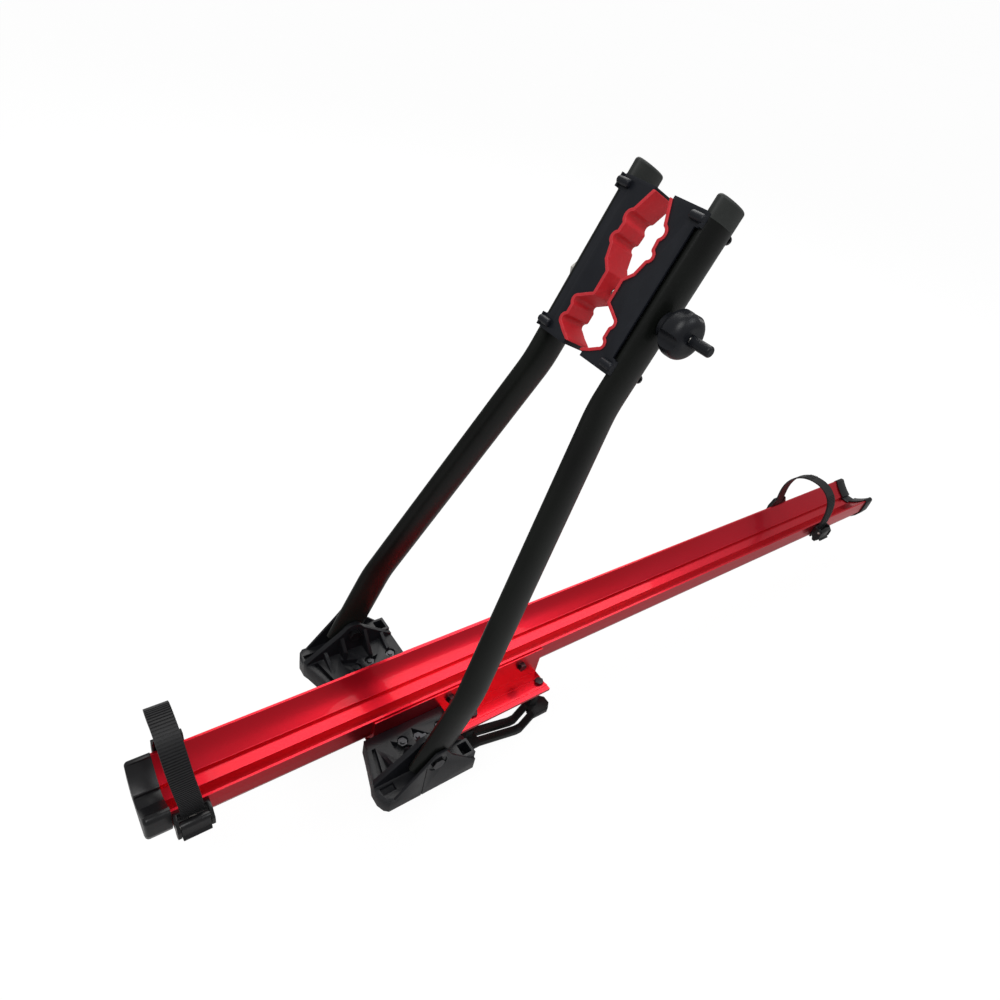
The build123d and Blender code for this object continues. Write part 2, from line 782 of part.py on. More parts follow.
def make_clamp_shell(tilts):
    """Moulded shell: a front face over the tube and a block that backs the jaw."""
    side = arm_top_y - tube_half_wide - shell_side_gap
    front, face_back = -clamp_front, -clamp_front + face_thick
    shell = block((front, face_back), (0, face_outer), (clamp_bottom, clamp_top))
    shell -= block(
        (front - overrun, face_back + overrun),
        (face_outer - face_notch, face_outer + overrun),
        (clamp_bottom + notch_end, clamp_top - notch_end),
    )
    shell += block((face_back - face_thick / 2, shell_back), (0, side), (clamp_bottom, clamp_top))
    for at in corner_pin_heights():
        ends = (at - ear_half, at + ear_half)
        outer = face_outer + ear_width
        shell += block((front, face_back), (face_outer - ear_half, outer), ends)
        shell += block((front - ear_lift, front + face_thick / 2), (outer - ear_thick, outer), ends)
    shell -= across_face(jaw_room(), -clamp_front - overrun, shell_back + overrun)
    for pin in make_corner_pins():
        shell -= pin
    shell -= across(rod_hole(tilts), 0, side + overrun, rod_height, rod_forward)
    for at in corner_pin_heights():
        shell -= screw_bar(screw_radius + screw_gap, -clamp_front - overrun, 0, at)
    return shell


def make_shell_screws():
    """Screws from the back of each tube into the corner pins."""
    screws = []
    tip = -clamp_front - corner_pin_lift
    for at in corner_pin_heights():
        screw = screw_bar(screw_radius, tip, tube_half_deep, at)
        head = screw_bar(screw_head_radius, tube_half_deep, tube_half_deep + screw_head_height, at)
        head = fillet(head.edges().filter_by(GeomType.CIRCLE).sort_by(Axis.X)[-1], screw_head_height / 2)
        screws.append(screw + head)
    return screws


def make_rod():
    """Clamp rod across both arms, with its fixed nut on the +Y side."""
    outer = arm_top_y + tube_half_wide
    rod = across(rod_radius, -rod_tip_y + rod_cap_wall, outer + rod_nut_height, rod_height, rod_forward)
    nut_start = (-rod_forward, outer, rod_height)
    nut = hex_along("y", rod_nut_flats, nut_start, rod_nut_height)
    nut = nut - rod
    cap = across(rod_radius + rod_cap_wall, -rod_tip_y, -rod_tip_y + rod_cap_length, rod_height, rod_forward)
    cap = fillet(cap.edges().filter_by(GeomType.CIRCLE).sort_by(Axis.Y)[0], rod_radius / 2)
    room = (-rod_tip_y + rod_cap_wall, -rod_tip_y + rod_cap_length + overrun)
    cap -= across(rod_radius + rod_cap_gap, *room, rod_height, rod_forward)
    return rod, nut, cap


def make_knob_parts():
    """Three-lobed knob with a threaded insert, and the washer it bears on."""
    tube_side = arm_top_y + tube_half_wide
    washer_low = tube_side + clamp_gap / 3
    hub_low = washer_low + rod_washer_thick
    body_low = hub_low + knob_hub_length
    body_high = body_low + knob_length
    bore = rod_radius + insert_bore_gap
    at, ahead = rod_height, rod_forward
    washer = across(rod_washer_radius, -washer_low, -hub_low, at, ahead)
    washer -= across(rod_radius + washer_gap, -washer_low + overrun, -hub_low - overrun, at, ahead)
    body = across(knob_radius, -body_low, -body_high, at, ahead)
    body = fillet(body.edges().filter_by(GeomType.CIRCLE), knob_round)
    for turn in range(knob_lobes):
        angle = radians(turn * full_turn / knob_lobes)
        up, aside = knob_scoop_at * cos(angle), knob_scoop_at * sin(angle)
        body -= across(knob_scoop_radius, -body_low + overrun, -body_high - overrun, at + up, ahead - aside)
    hub = across(knob_hub_radius, -hub_low - knob_clear, -body_low - overrun, at, ahead)
    knob = body + hub
    insert_low = hub_low + knob_clear
    insert_high = insert_low + insert_length
    knob -= across(bore, -hub_low + overrun, -body_high - overrun, at, ahead)
    knob -= across(insert_radius, -hub_low + overrun, -insert_high, at, ahead)
    insert = across(insert_radius, -insert_low, -insert_high, at, ahead)
    insert -= across(bore, -hub_low + overrun, -body_high - overrun, at, ahead)
    return knob, insert, washer


# Wheel straps: anchored on the +Y side, over the wheel, into the buckle on the -Y side


def strap_places():
    """Middle of each strap's root and of its buckle, along the channel."""
    front, rear = front_x + front_strap_inset, rear_x - rear_strap_inset
    return ((front, front), (rear + rear_arch_shares[0][0] * strap_width, rear))


def rivet_height():
    return lip_z - side_drop + rivet_head_radius + skin / 2


def band_y():
    """Middle of the band beside the channel on the anchored side."""
    return lip_half + strap_gap + strap_thick / 2


def buckle_face():
    """Front face of the buckle's back plate."""
    return lip_half + buckle_thick


def make_strap(middle, arch):
    root_x = middle + arch[0][0] * strap_width
    side = band_y()
    tail_y = buckle_face() + tail_gap + strap_thick / 2
    points = [
        (middle + lean * strap_width, out * strap_half, lip_z + up * strap_rise) for lean, up, out in arch[1:]
    ]
    start = (root_x, side, lip_z)
    entry = (middle, -tail_y, lip_z - buckle_top / 2)
    low = (root_x, side, lip_z - root_drop)
    end = (middle, -tail_y, rivet_height() + rivet_head_radius + tail_gap)
    path = Spline(low, start, *points, entry, end, tangents=((0, 0, 1), (0, 0, -1)))
    sections = []
    for station in range(strap_stations + 1):
        share = station / strap_stations
        along = path % share
        plane = Plane(origin=path @ share, x_dir=(1, 0, 0), z_dir=(0, along.Y, along.Z))
        sections.append(plane * Rectangle(strap_width, strap_thick))
    return loft(sections, ruled=True)


def make_anchor(x, width):
    """Moulded keeper over the band's root, with a slot for the band."""
    side = lip_half
    low, high = lip_z - root_drop, lip_z + anchor_rise
    outer = side + strap_thick + 2 * strap_gap + anchor_thick
    half, top_half = width / 2, anchor_top_width / 2
    floor = rivet_height() - rivet_head_radius - skin
    outline = [
        (x - half, floor),
        (x - half, lip_z),
        (x - top_half, high),
        (x + top_half, high),
        (x + half, lip_z),
        (x + half, floor),
    ]
    keeper = slab_y(outline, side, outer)
    half_slot = strap_width / 2 + skin + strap_gap
    keeper -= block((x - half_slot, x + half_slot), (0, outer - anchor_thick), (low, high + overrun))
    keeper -= rod_along("y", anchor_rivet_radius, (x, side - overrun, rivet_height()), anchor_rise + overrun)
    return keeper


def make_buckle(x):
    """Buckle body on the -Y side: back plate, two cheeks and a lower bar."""
    face = buckle_face()
    half = buckle_width / 2
    high = lip_z - buckle_top
    low = high - buckle_height
    body = block((x - half, x + half), (-face, -lip_half), (rivet_height() - 2 * rivet_head_radius, high))
    reach = face + cheek_reach
    outline = [
        (-lip_half - skin / 2, high),
        (-face - cheek_reach / 2, high),
        (-reach, high - cheek_reach / 2),
        (-reach, low + cheek_reach / 2),
        (-reach + cheek_reach / 3, low),
        (-face - cheek_reach / 3, low),
        (-lip_half - skin / 2, low + cheek_reach),
    ]
    for edge in (x - half, x + half - buckle_cheek):
        body += slab_x(outline, edge, edge + buckle_cheek)
    bar = (-reach + cheek_reach / 3, -face - cheek_reach / 3)
    body += block((x - half, x + half), bar, (low, low + buckle_thick))
    pin_y, pin_z = lever_axis()
    body -= rod_along("x", lever_pin_radius, (x - half - overrun, pin_y, pin_z), buckle_width + 2 * overrun)
    return body - rod_along("y", anchor_rivet_radius, (x, -face - overrun, rivet_height()), 2 * overrun)


def lever_axis():
    return -buckle_face() - lever_pin_reach, lip_z - buckle_top - lever_pin_drop


def make_lever(x):
    """Thumb lever on the pin, closed downwards between the cheeks."""
    pin_y, pin_z = lever_axis()
    half = buckle_width / 2 - buckle_cheek - lever_gap
    lever = rod_along("x", lever_hub, (x - half, pin_y, pin_z), 2 * half)
    outline = [
        (pin_y, pin_z + lever_hub / 3),
        (pin_y - lever_hub, pin_z),
        (pin_y - lever_hub, pin_z - lever_length + lever_tip),
        (pin_y - lever_hub - lever_tip, pin_z - lever_length),
        (pin_y - lever_hub + lever_tip, pin_z - lever_length + lever_tip),
        (pin_y, pin_z - lever_hub),
    ]
    lever += slab_x(outline, x - half, x + half)
    bore = lever_pin_radius + lever_pin_gap
    return lever - rod_along("x", bore, (x - half - overrun, pin_y, pin_z), 2 * (half + overrun))


def make_lever_pin(x):
    pin_y, pin_z = lever_axis()
    return rod_along("x", lever_pin_radius, (x - buckle_width / 2, pin_y, pin_z), buckle_width)


def rivet(x, outer, inner_reach):
    """Rivet on the +Y side through a wall, with a head on both ends."""
    z = rivet_height()
    body = rod_along("y", anchor_rivet_radius, (x, inner_reach, z), outer - inner_reach)
    body += rod_along("y", rivet_head_radius, (x, outer, z), rivet_head_height)
    return body


def make_strap_rivets(root_x, buckle_x):
    """One rivet through the keeper and one through the buckle's back plate."""
    inner = lip_half - channel_wall - skin
    keeper_outer = lip_half + strap_thick + 2 * strap_gap + anchor_thick
    return [rivet(root_x, keeper_outer, inner), mirrored(rivet(buckle_x, buckle_face(), inner))]


# Roof bar clamps, drawn for the +Y side


def make_bar_clamp():
    x_low, x_high = clamp_bolt_xs()
    top = -bar_clamp_end
    dip = top - bar_clamp_dip
    half = bar_clamp_width / 2
    middle = bar_clamp_middle_x
    upper = [
        (x_low - bar_clamp_front_reach, top),
        (x_low + bar_clamp_land, top),
        (middle - bar_clamp_flat / 2, dip),
        (middle + bar_clamp_flat / 2, dip),
        (x_high - bar_clamp_land, top),
        (x_high + bar_clamp_rear_reach, top),
    ]
    lower = [(x, z - bar_clamp_thick) for x, z in reversed(upper)]
    low_y, high_y = bar_clamp_y - half, bar_clamp_y + half
    clamp = slab_y(upper + lower, low_y, high_y)
    tip = x_high + bar_clamp_rear_reach
    shoulder = tip - bar_clamp_corner
    front = x_low - bar_clamp_front_reach - overrun
    clamp &= slab_z(
        [
            (front, low_y),
            (shoulder, low_y),
            (tip, low_y + bar_clamp_corner),
            (tip, high_y - bar_clamp_corner),
            (shoulder, high_y),
            (front, high_y),
        ],
        2 * dip,
        top + overrun,
    )
    clamp -= block(
        (x_low + bar_clamp_land + slot_end_gap, x_high - bar_clamp_land - slot_end_gap),
        (bar_clamp_y - bar_clamp_slot / 2, bar_clamp_y + bar_clamp_slot / 2),
        (dip - 2 * bar_clamp_thick, top + overrun),
    )
    for x in (x_low, x_high):
        start = (x, clamp_bolt_y, top - bar_clamp_thick)
        clamp += rod_along("z", bar_clamp_boss_radius, start, bar_clamp_thick + bar_clamp_boss_height)
        clamp -= rod_along("z", m6_radius + clamp_gap, (x, clamp_bolt_y, dip), -dip)
    return clamp


def make_clamp_bolts():
    """Bolts that hang from the flange, and the washers and lock nuts below the clamp."""
    flange_top = flange_thick - groove_depth
    bolts, nuts, washers = [], [], []
    under = -bar_clamp_end - bar_clamp_thick
    washer_low = under - m6_washer_thick
    low = washer_low - lock_nut_height - thread_tail
    for x in clamp_bolt_xs():
        shank_low = low + thread_tail
        bolt = rod_along("z", m6_radius, (x, clamp_bolt_y, shank_low), flange_top - shank_low)
        bolt += rod_along("z", m6_radius - thread_relief, (x, clamp_bolt_y, low), thread_tail)
        bolt += hex_along("z", m6_head, (x, clamp_bolt_y, flange_top), m6_head_height)
        bolts.append(bolt)
        washer = rod_along("z", m6_washer_radius, (x, clamp_bolt_y, washer_low), m6_washer_thick)
        hole = rod_along("z", m6_radius + rod_fit, (x, clamp_bolt_y, low), -low)
        washers.append(washer - hole)
        nut = hex_along("z", m6_head, (x, clamp_bolt_y, washer_low - lock_nut_height), lock_nut_height)
        nuts.append(nut - hole)
    return bolts, nuts, washers


def main():
    os.makedirs("parts", exist_ok=True)
    write("wheel_channel", make_channel())
    write("channel_cap_front", make_cap(True))
    write("channel_cap_rear", make_cap(False))
    write("base_profile", make_base())
    side_bolts, rivet_nuts = make_side_bolts()
    write("channel_bolts", side_bolts)
    write("channel_rivet_nuts", rivet_nuts)

    foot = make_foot()
    write("foot_left", foot)
    write("foot_right", mirrored(foot))
    foot_bolts, foot_nuts = make_foot_bolts()
    write("foot_bolts", foot_bolts)
    write("foot_nuts", foot_nuts)
    pivot_bolts, pivot_nuts = make_pivot_hardware()
    write("pivot_bolts", pivot_bolts)
    write("pivot_nuts", pivot_nuts)

    for side, tilts, turn in (("left", False, lambda shape: shape), ("right", True, mirrored)):
        arm_side = {
            "arm": [make_arm(tilts)],
            "pivot_sleeve": [make_pivot_sleeve(tilts)],
            "arm_plug": [make_plug()],
            "clamp_shell": [make_clamp_shell(tilts)],
            "jaw": [make_jaw(tilts)],
            "corner_pins": make_corner_pins(),
            "shell_screws": make_shell_screws(),
        }
        for name, shapes in arm_side.items():
            write(f"{name}_{side}", [place(turn(shape)) for shape in shapes])
    rod, rod_nut, rod_cap = make_rod()
    knob, insert, washer = make_knob_parts()
    for name, shape in (
        ("clamp_rod", rod),
        ("rod_nut", rod_nut),
        ("rod_cap", rod_cap),
        ("clamp_knob", knob),
        ("knob_insert", insert),
        ("knob_washer", washer),
    ):
        write(name, place(shape))

    front, rear = strap_places()
    for end, (root_x, buckle_x), arch, width in (
        ("front", front, front_arch_shares, front_anchor_width),
        ("rear", rear, rear_arch_shares, rear_anchor_width),
    ):
        write(f"wheel_strap_{end}", make_strap(buckle_x, arch))
        write(f"strap_anchor_{end}", make_anchor(root_x, width))
        write(f"buckle_body_{end}", make_buckle(buckle_x))
        write(f"buckle_lever_{end}", make_lever(buckle_x))
        write(f"buckle_pin_{end}", make_lever_pin(buckle_x))
        write(f"strap_rivets_{end}", make_strap_rivets(root_x, buckle_x))

    clamp = make_bar_clamp()
    bolts, nuts, washers = make_clamp_bolts()
    write("bar_clamp_left", clamp)
    write("bar_clamp_right", mirrored(clamp))
    write("bar_clamp_bolts", both_sides(bolts))
    for side, turn in (("left", lambda shape: shape), ("right", mirrored)):
        write(f"bar_clamp_nuts_{side}", [turn(nut) for nut in nuts])
        write(f"bar_clamp_washers_{side}", [turn(washer) for washer in washers])


main()
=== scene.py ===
"""Dresses the roof mounted bike carrier: a finish for each piece of its frame,
softened plastic edges, ribbed wheel straps and a plain studio."""

import json
from math import atan2, pi, radians

import bpy
from bpy.props import FloatProperty, FloatVectorProperty, PointerProperty
from mathutils import Matrix, Vector

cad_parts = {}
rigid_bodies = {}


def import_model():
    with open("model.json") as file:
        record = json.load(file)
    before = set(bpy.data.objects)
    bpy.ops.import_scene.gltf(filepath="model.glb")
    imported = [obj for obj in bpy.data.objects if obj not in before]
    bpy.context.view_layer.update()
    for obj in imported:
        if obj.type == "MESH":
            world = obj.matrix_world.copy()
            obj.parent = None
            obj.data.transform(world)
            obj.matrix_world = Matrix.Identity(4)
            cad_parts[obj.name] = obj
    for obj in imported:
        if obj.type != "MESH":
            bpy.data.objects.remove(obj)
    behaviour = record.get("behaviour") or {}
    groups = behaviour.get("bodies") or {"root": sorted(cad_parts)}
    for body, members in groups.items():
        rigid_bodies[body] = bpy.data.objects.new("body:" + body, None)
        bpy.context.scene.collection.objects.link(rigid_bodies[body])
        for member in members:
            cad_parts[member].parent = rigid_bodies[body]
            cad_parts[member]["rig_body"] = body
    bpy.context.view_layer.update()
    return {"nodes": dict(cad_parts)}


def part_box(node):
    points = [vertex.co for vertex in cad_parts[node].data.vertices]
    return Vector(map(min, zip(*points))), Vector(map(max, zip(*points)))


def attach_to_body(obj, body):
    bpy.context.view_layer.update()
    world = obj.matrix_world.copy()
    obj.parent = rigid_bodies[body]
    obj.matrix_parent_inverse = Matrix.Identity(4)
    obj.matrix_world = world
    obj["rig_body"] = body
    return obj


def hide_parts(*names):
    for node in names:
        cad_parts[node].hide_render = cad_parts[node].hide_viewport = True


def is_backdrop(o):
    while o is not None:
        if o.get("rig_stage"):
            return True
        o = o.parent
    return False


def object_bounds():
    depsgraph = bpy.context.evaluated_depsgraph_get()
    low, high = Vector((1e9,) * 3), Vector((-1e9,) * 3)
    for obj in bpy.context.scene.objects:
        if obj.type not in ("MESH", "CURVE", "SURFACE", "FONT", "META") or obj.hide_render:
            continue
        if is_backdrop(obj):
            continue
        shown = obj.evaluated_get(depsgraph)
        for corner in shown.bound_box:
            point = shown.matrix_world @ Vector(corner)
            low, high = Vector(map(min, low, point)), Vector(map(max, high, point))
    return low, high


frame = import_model()

bl_info = {
    "name": "Roof Bike Carrier",
    "version": (1, 0, 0),
    "blender": (4, 5, 0),
    "location": "3D View > Sidebar > Carrier",
    "description": "Finishes, straps and studio for a roof mounted bike carrier",
    "category": "Object",
}

# Making of the pieces
MERGE_REACH = 0.00001           # points nearer than this are one
FLAT_ANGLE = 0.5                # degrees between faces that are one flat face
BEVEL_ANGLE = 30.0              # degrees at an edge that gets rounded
SMOOTH_ANGLE = 35.0             # degrees between faces that shade as one
RIB_SMOOTH_ANGLE = 30.0
JAW_BEVEL_ANGLE = 40.0
RIM_REACH_SHARE = 1 / 8         # of the band's thickness, between points of one rim
RIM_FIT_SHARE = 1 / 40          # of the band's thickness, in the distance of two rims
LINE_PARTS = 16                 # parts of a smooth line between two given points
OUTWARD = 0.9                   # how squarely an outer face of the band looks outwards
SHELL_EDGE_SHARE = 0.5          # edge rounding of the shells, of the other plastic's
BUCKLE_EDGE_SHARE = 0.7         # edge rounding of the buckles, of the other plastic's

# Edges found by the finishes
EDGE_SAMPLES = 4
EDGE_TURN = (0.01, 0.16)        # turn of the rounded normal, from open surface to edge

# Threads of the bar clamp bolts
BOLT_PITCH = 0.001
BOLT_THREAD_TOP = (-0.004, -0.002)   # the thread fades out between these heights

# Studio
FLOOR_SIZE = 400.0
FLOOR_GREY = (0.5, 0.5, 0.5, 1.0)
FLOOR_GLOW = 1.12
FLOOR_GLOW_SHARE = 0.85         # of what the camera sees of the floor
SKY_SEEN = 0.98                 # the sky as the camera sees it
WHITE = (1.0, 1.0, 1.0, 1.0)
SENSOR = 36.0                   # millimetres
CLIP_START = 0.01
# Name, place, target, size, setting of its power, share of that power, and colour
LIGHTS = (
    ("key_light", (1.1, 1.3, 2.2), (0.1, 0.0, 0.1), 2.4, "key_power", 1.0, (1.0, 0.99, 0.97)),
    ("front_light", (-1.0, -0.7, 2.0), (0.0, 0.0, 0.2), 1.2, "fill_power", 1.0, (1.0, 1.0, 1.0)),
    ("right_light", (1.2, -1.6, 2.4), (0.5, 0.0, 0.05), 1.2, "fill_power", 0.8, (0.96, 0.98, 1.0)),
)


# Shader maths

def put(tree, socket, value):
    """Sets a socket to a value, or links it."""
    if isinstance(value, Value):
        tree.links.new(value.socket, socket)
    else:
        socket.default_value = value


def calc(tree, operation, *values):
    """Adds a Math node on values and sockets."""
    node = tree.nodes.new("ShaderNodeMath")
    node.operation = operation
    for socket, value in zip(node.inputs, values):
        put(tree, socket, value)
    return Value(tree, node.outputs[0])


class Value:
    """A shader socket; arithmetic on it adds Math nodes."""

    def __init__(self, tree, socket):
        self.tree = tree
        self.socket = socket

    def __add__(self, other):
        return calc(self.tree, "ADD", self, other)

    def __radd__(self, other):
        return calc(self.tree, "ADD", other, self)

    def __sub__(self, other):
        return calc(self.tree, "SUBTRACT", self, other)

    def __rsub__(self, other):
        return calc(self.tree, "SUBTRACT", other, self)

    def __mul__(self, other):
        return calc(self.tree, "MULTIPLY", self, other)

    def __rmul__(self, other):
        return calc(self.tree, "MULTIPLY", other, self)

    def __truediv__(self, other):
        return calc(self.tree, "DIVIDE", self, other)

    def clipped(self):
        """This value held between 0 and 1."""
        return calc(self.tree, "MINIMUM", calc(self.tree, "MAXIMUM", self, 0.0), 1.0)

    def wave(self, length):
        """A ridge that rises and falls once each length, from 0 to 1."""
        return calc(self.tree, "PINGPONG", self / length, 0.5) * 2.0


class Finish:
    """One material under construction."""

    def __init__(self, name):
        self.material = bpy.data.materials.new(name)
        self.material.use_nodes = True
        self.tree = self.material.node_tree
        self.tree.nodes.clear()
        self.spot = self.add("ShaderNodeTexCoord", {}, output="Object")

    def add(self, kind, values, settings=(), output=0):
        """Adds a node: its settings first, then a value or link for each socket named."""
        node = self.tree.nodes.new(kind)
        for key, value in dict(settings).items():
            setattr(node, key, value)
        for key, value in values.items():
            put(self.tree, node.inputs[key], value)
        return Value(self.tree, node.outputs[output]) if len(node.outputs) else None

    def part(self, vector, axis):
        """One of the X, Y and Z parts of a vector."""
        return self.add("ShaderNodeSeparateXYZ", {"Vector": vector}, output=axis)

    def noise(self, grain, detail=2.0, rough=0.5, stretch=None):
        """Noise with grains of that size in metres, longer along an axis where stretched."""
        spot = self.spot
        if stretch:
            spot = self.add("ShaderNodeMapping", {"Vector": spot, "Scale": stretch})
        values = {"Vector": spot, "Scale": 1.0 / grain, "Detail": detail, "Roughness": rough}
        return self.add("ShaderNodeTexNoise", values, output="Fac")

    def band(self, value, low, high):
        """0 below low, 1 above high, and smooth between."""
        values = {"Value": value, "From Min": low, "From Max": high}
        return self.add("ShaderNodeMapRange", values, {"interpolation_type": "SMOOTHSTEP"})

    def mix(self, factor, first, second):
        """Mixes two colours."""
        node = self.tree.nodes.new("ShaderNodeMix")
        node.data_type = "RGBA"
        for socket, value in zip((node.inputs[0], node.inputs[6], node.inputs[7]), (factor, first, second)):
            put(self.tree, socket, value)
        return Value(self.tree, node.outputs[2])

    def edges(self, radius):
        """Near 1 within that distance of an edge, and 0 on open surfaces."""
        round_normal = self.add("ShaderNodeBevel", {"Radius": radius}, {"samples": EDGE_SAMPLES})
        flat_normal = self.add("ShaderNodeNewGeometry", {}, output="Normal")
        both = {0: round_normal, 1: flat_normal}
        along = self.add("ShaderNodeVectorMath", both, {"operation": "DOT_PRODUCT"}, output="Value")
        return self.band(1.0 - along, *EDGE_TURN)

    def bump(self, height, distance, strength=1.0, over=None):
        """A normal with a height field of that depth, on top of another normal."""
        values = {"Height": height, "Distance": distance, "Strength": strength}
        if over:
            values["Normal"] = over
        return self.add("ShaderNodeBump", values)

    def surface(self, values):
        """Ends the material with a Principled surface."""
        shader = self.add("ShaderNodeBsdfPrincipled", values)
        self.add("ShaderNodeOutputMaterial", {"Surface": shader})
        return self.material


def tone(colour, level):
    """A colour made lighter or darker, as an RGBA tuple."""
    return tuple(min(1.0, part * level) for part in colour[:3]) + (1.0,)


def lacquer(name, colour, flake, pale):
    """Glossy metallic paint over aluminium with fine flakes, faint scuffs, painted highlight in paler
    streaks along X, and paler edges that are partly worn paint and partly painted highlight.
    """
    cloud_grain, scuff_grain = 0.09, 0.0022
    drawn_cloud, drawn_scuff = (0.3, 1.0, 1.0), (0.06, 1.0, 1.0)
    dark_flake, pale_flake, pale_edge = 0.78, 1.25, 1.1
    highlight_streak_share, worn_share = 0.14, 0.3
    worn_reach, flake_depth = 0.0009, 0.00005
    finish = Finish(name)
    flakes = finish.noise(flake, 2.0, 0.7)
    cloud = finish.noise(cloud_grain, 2.0, 0.5, drawn_cloud)
    scuffs = finish.band(finish.noise(scuff_grain, 3.0, 0.6, drawn_scuff), 0.63, 0.8)
    body = finish.mix(flakes, tone(colour, dark_flake), tone(colour, pale_flake))
    # Painted highlight: streaks drawn out along X take on the paler highlight colour.
    body = finish.mix(finish.band(cloud, 0.3, 0.7) * highlight_streak_share, body, tone(pale, 1.0))
    # Paler edges in the highlight colour: partly worn paint, partly a painted highlight along the edges.
    edge = finish.edges(worn_reach)
    body = finish.mix(edge * worn_share, body, tone(pale, pale_edge))
    return finish.surface({
        "Base Color": body,
        "Metallic": 0.82 + flakes * 0.14 - edge * 0.2,
        "Roughness": 0.27 + scuffs * 0.05 + cloud * 0.06,
        "Coat Weight": 0.2,
        "Coat Roughness": 0.04,
        "Normal": finish.bump(flakes, flake_depth, 0.5),
    })


def moulded(name, colour, grain, depth, rough, wear=0.3):
    """Moulded plastic: fine grain, cloudy sheen, a little dust and rubbed edges."""
    cloud_grain, dust_grain, worn_reach = 0.018, 0.006, 0.001
    dark_cloud, pale_cloud, pale_edge = 0.75, 1.3, 3.2
    dust_share = 0.12
    finish = Finish(name)
    fine = finish.noise(grain, 3.0, 0.6)
    cloud = finish.noise(cloud_grain, 3.0, 0.55)
    dust = finish.band(finish.noise(dust_grain, 4.0, 0.65), 0.55, 0.8)
    edge = finish.edges(worn_reach)
    body = finish.mix(cloud, tone(colour, dark_cloud), tone(colour, pale_cloud))
    body = finish.mix((edge * wear + dust * dust_share).clipped(), body, tone(colour, pale_edge))
    return finish.surface({
        "Base Color": body,
        "Roughness": rough + cloud * 0.14 - 0.07 + dust * 0.1 - edge * 0.08,
        "Specular IOR Level": 0.3,
        "Normal": finish.bump(fine, depth, 0.6),
    })


def powder_coat(name, colour, sheen):
    """Satin powder coat: an orange-peel skin with painted sheen in paler streaks along Z, specks and worn
    edges.
    """
    peel_grain, bloom_grain, speck_grain = 0.0011, 0.05, 0.0016
    drawn_sheen = (1.0, 1.0, 0.4)
    worn_reach, peel_depth = 0.0008, 0.00006
    speck_share, worn_share, pale_edge = 0.25, 0.3, 2.6
    finish = Finish(name)
    peel = finish.noise(peel_grain, 2.0, 0.5)
    bloom = finish.noise(bloom_grain, 3.0, 0.5, drawn_sheen)
    specks = finish.band(finish.noise(speck_grain, 1.0, 0.5), 0.68, 0.8)
    edge = finish.edges(worn_reach)
    # Painted sheen: paler streaks drawn out along Z in the sheen colour.
    body = finish.mix(finish.band(bloom, 0.3, 0.75), tone(colour, 1.0), tone(sheen, 1.0))
    body = finish.mix((specks * speck_share + edge * worn_share).clipped(), body, tone(sheen, pale_edge))
    return finish.surface({
        "Base Color": body,
        "Roughness": 0.27 + bloom * 0.12 + specks * 0.1,
        "Specular IOR Level": 0.2,
        "Normal": finish.bump(peel, peel_depth, 0.5),
    })


def rubber(name, colour, pale):
    """Soft rubber with a fine skin, a dusty bloom and rubbed edges."""
    skin_grain, cloud_grain, bloom_grain = 0.0009, 0.012, 0.004
    dark_cloud, pale_cloud = 0.8, 1.15
    bloom_share, worn_share = 0.18, 0.3
    worn_reach, skin_depth = 0.0012, 0.00012
    finish = Finish(name)
    fine = finish.noise(skin_grain, 3.0, 0.6)
    cloud = finish.noise(cloud_grain, 3.0, 0.6)
    bloom = finish.band(finish.noise(bloom_grain, 4.0, 0.6), 0.5, 0.85)
    edge = finish.edges(worn_reach)
    body = finish.mix(cloud, tone(colour, dark_cloud), tone(colour, pale_cloud))
    body = finish.mix((bloom * bloom_share + edge * worn_share).clipped(), body, tone(pale, 1.0))
    return finish.surface({
        "Base Color": body,
        "Roughness": 0.52 + cloud * 0.12 + bloom * 0.08,
        "Normal": finish.bump(fine, skin_depth, 0.5),
    })


def metal(name, colour, rough, thread=None):
    """Plated steel or brass with fine turning marks; a thread where one is asked for, with painted shade
    darkening its roots.
    """
    mark_grain, cloud_grain = 0.0007, 0.006
    mark_depth, thread_depth = 0.00002, 0.0004
    tarnish_share, tarnish_tone, root_shade_tone = 0.5, 0.55, 0.35
    finish = Finish(name)
    marks = finish.noise(mark_grain, 3.0, 0.6)
    tarnish = finish.band(finish.noise(cloud_grain, 3.0, 0.6), 0.5, 0.8)
    normal = finish.bump(marks, mark_depth, 0.4)
    body = finish.mix(tarnish * tarnish_share, tone(colour, 1.0), tone(colour, tarnish_tone))
    if thread:
        height = thread(finish)
        normal = finish.bump(height, thread_depth, 1.0, normal)
        # Painted shade: the thread's roots are darkened as if in shadow.
        body = finish.mix(height * 0.6, tone(colour, root_shade_tone), body)
    return finish.surface({
        "Base Color": body,
        "Metallic": 1.0,
        "Roughness": rough + marks * 0.1 + tarnish * 0.15,
        "Normal": normal,
    })


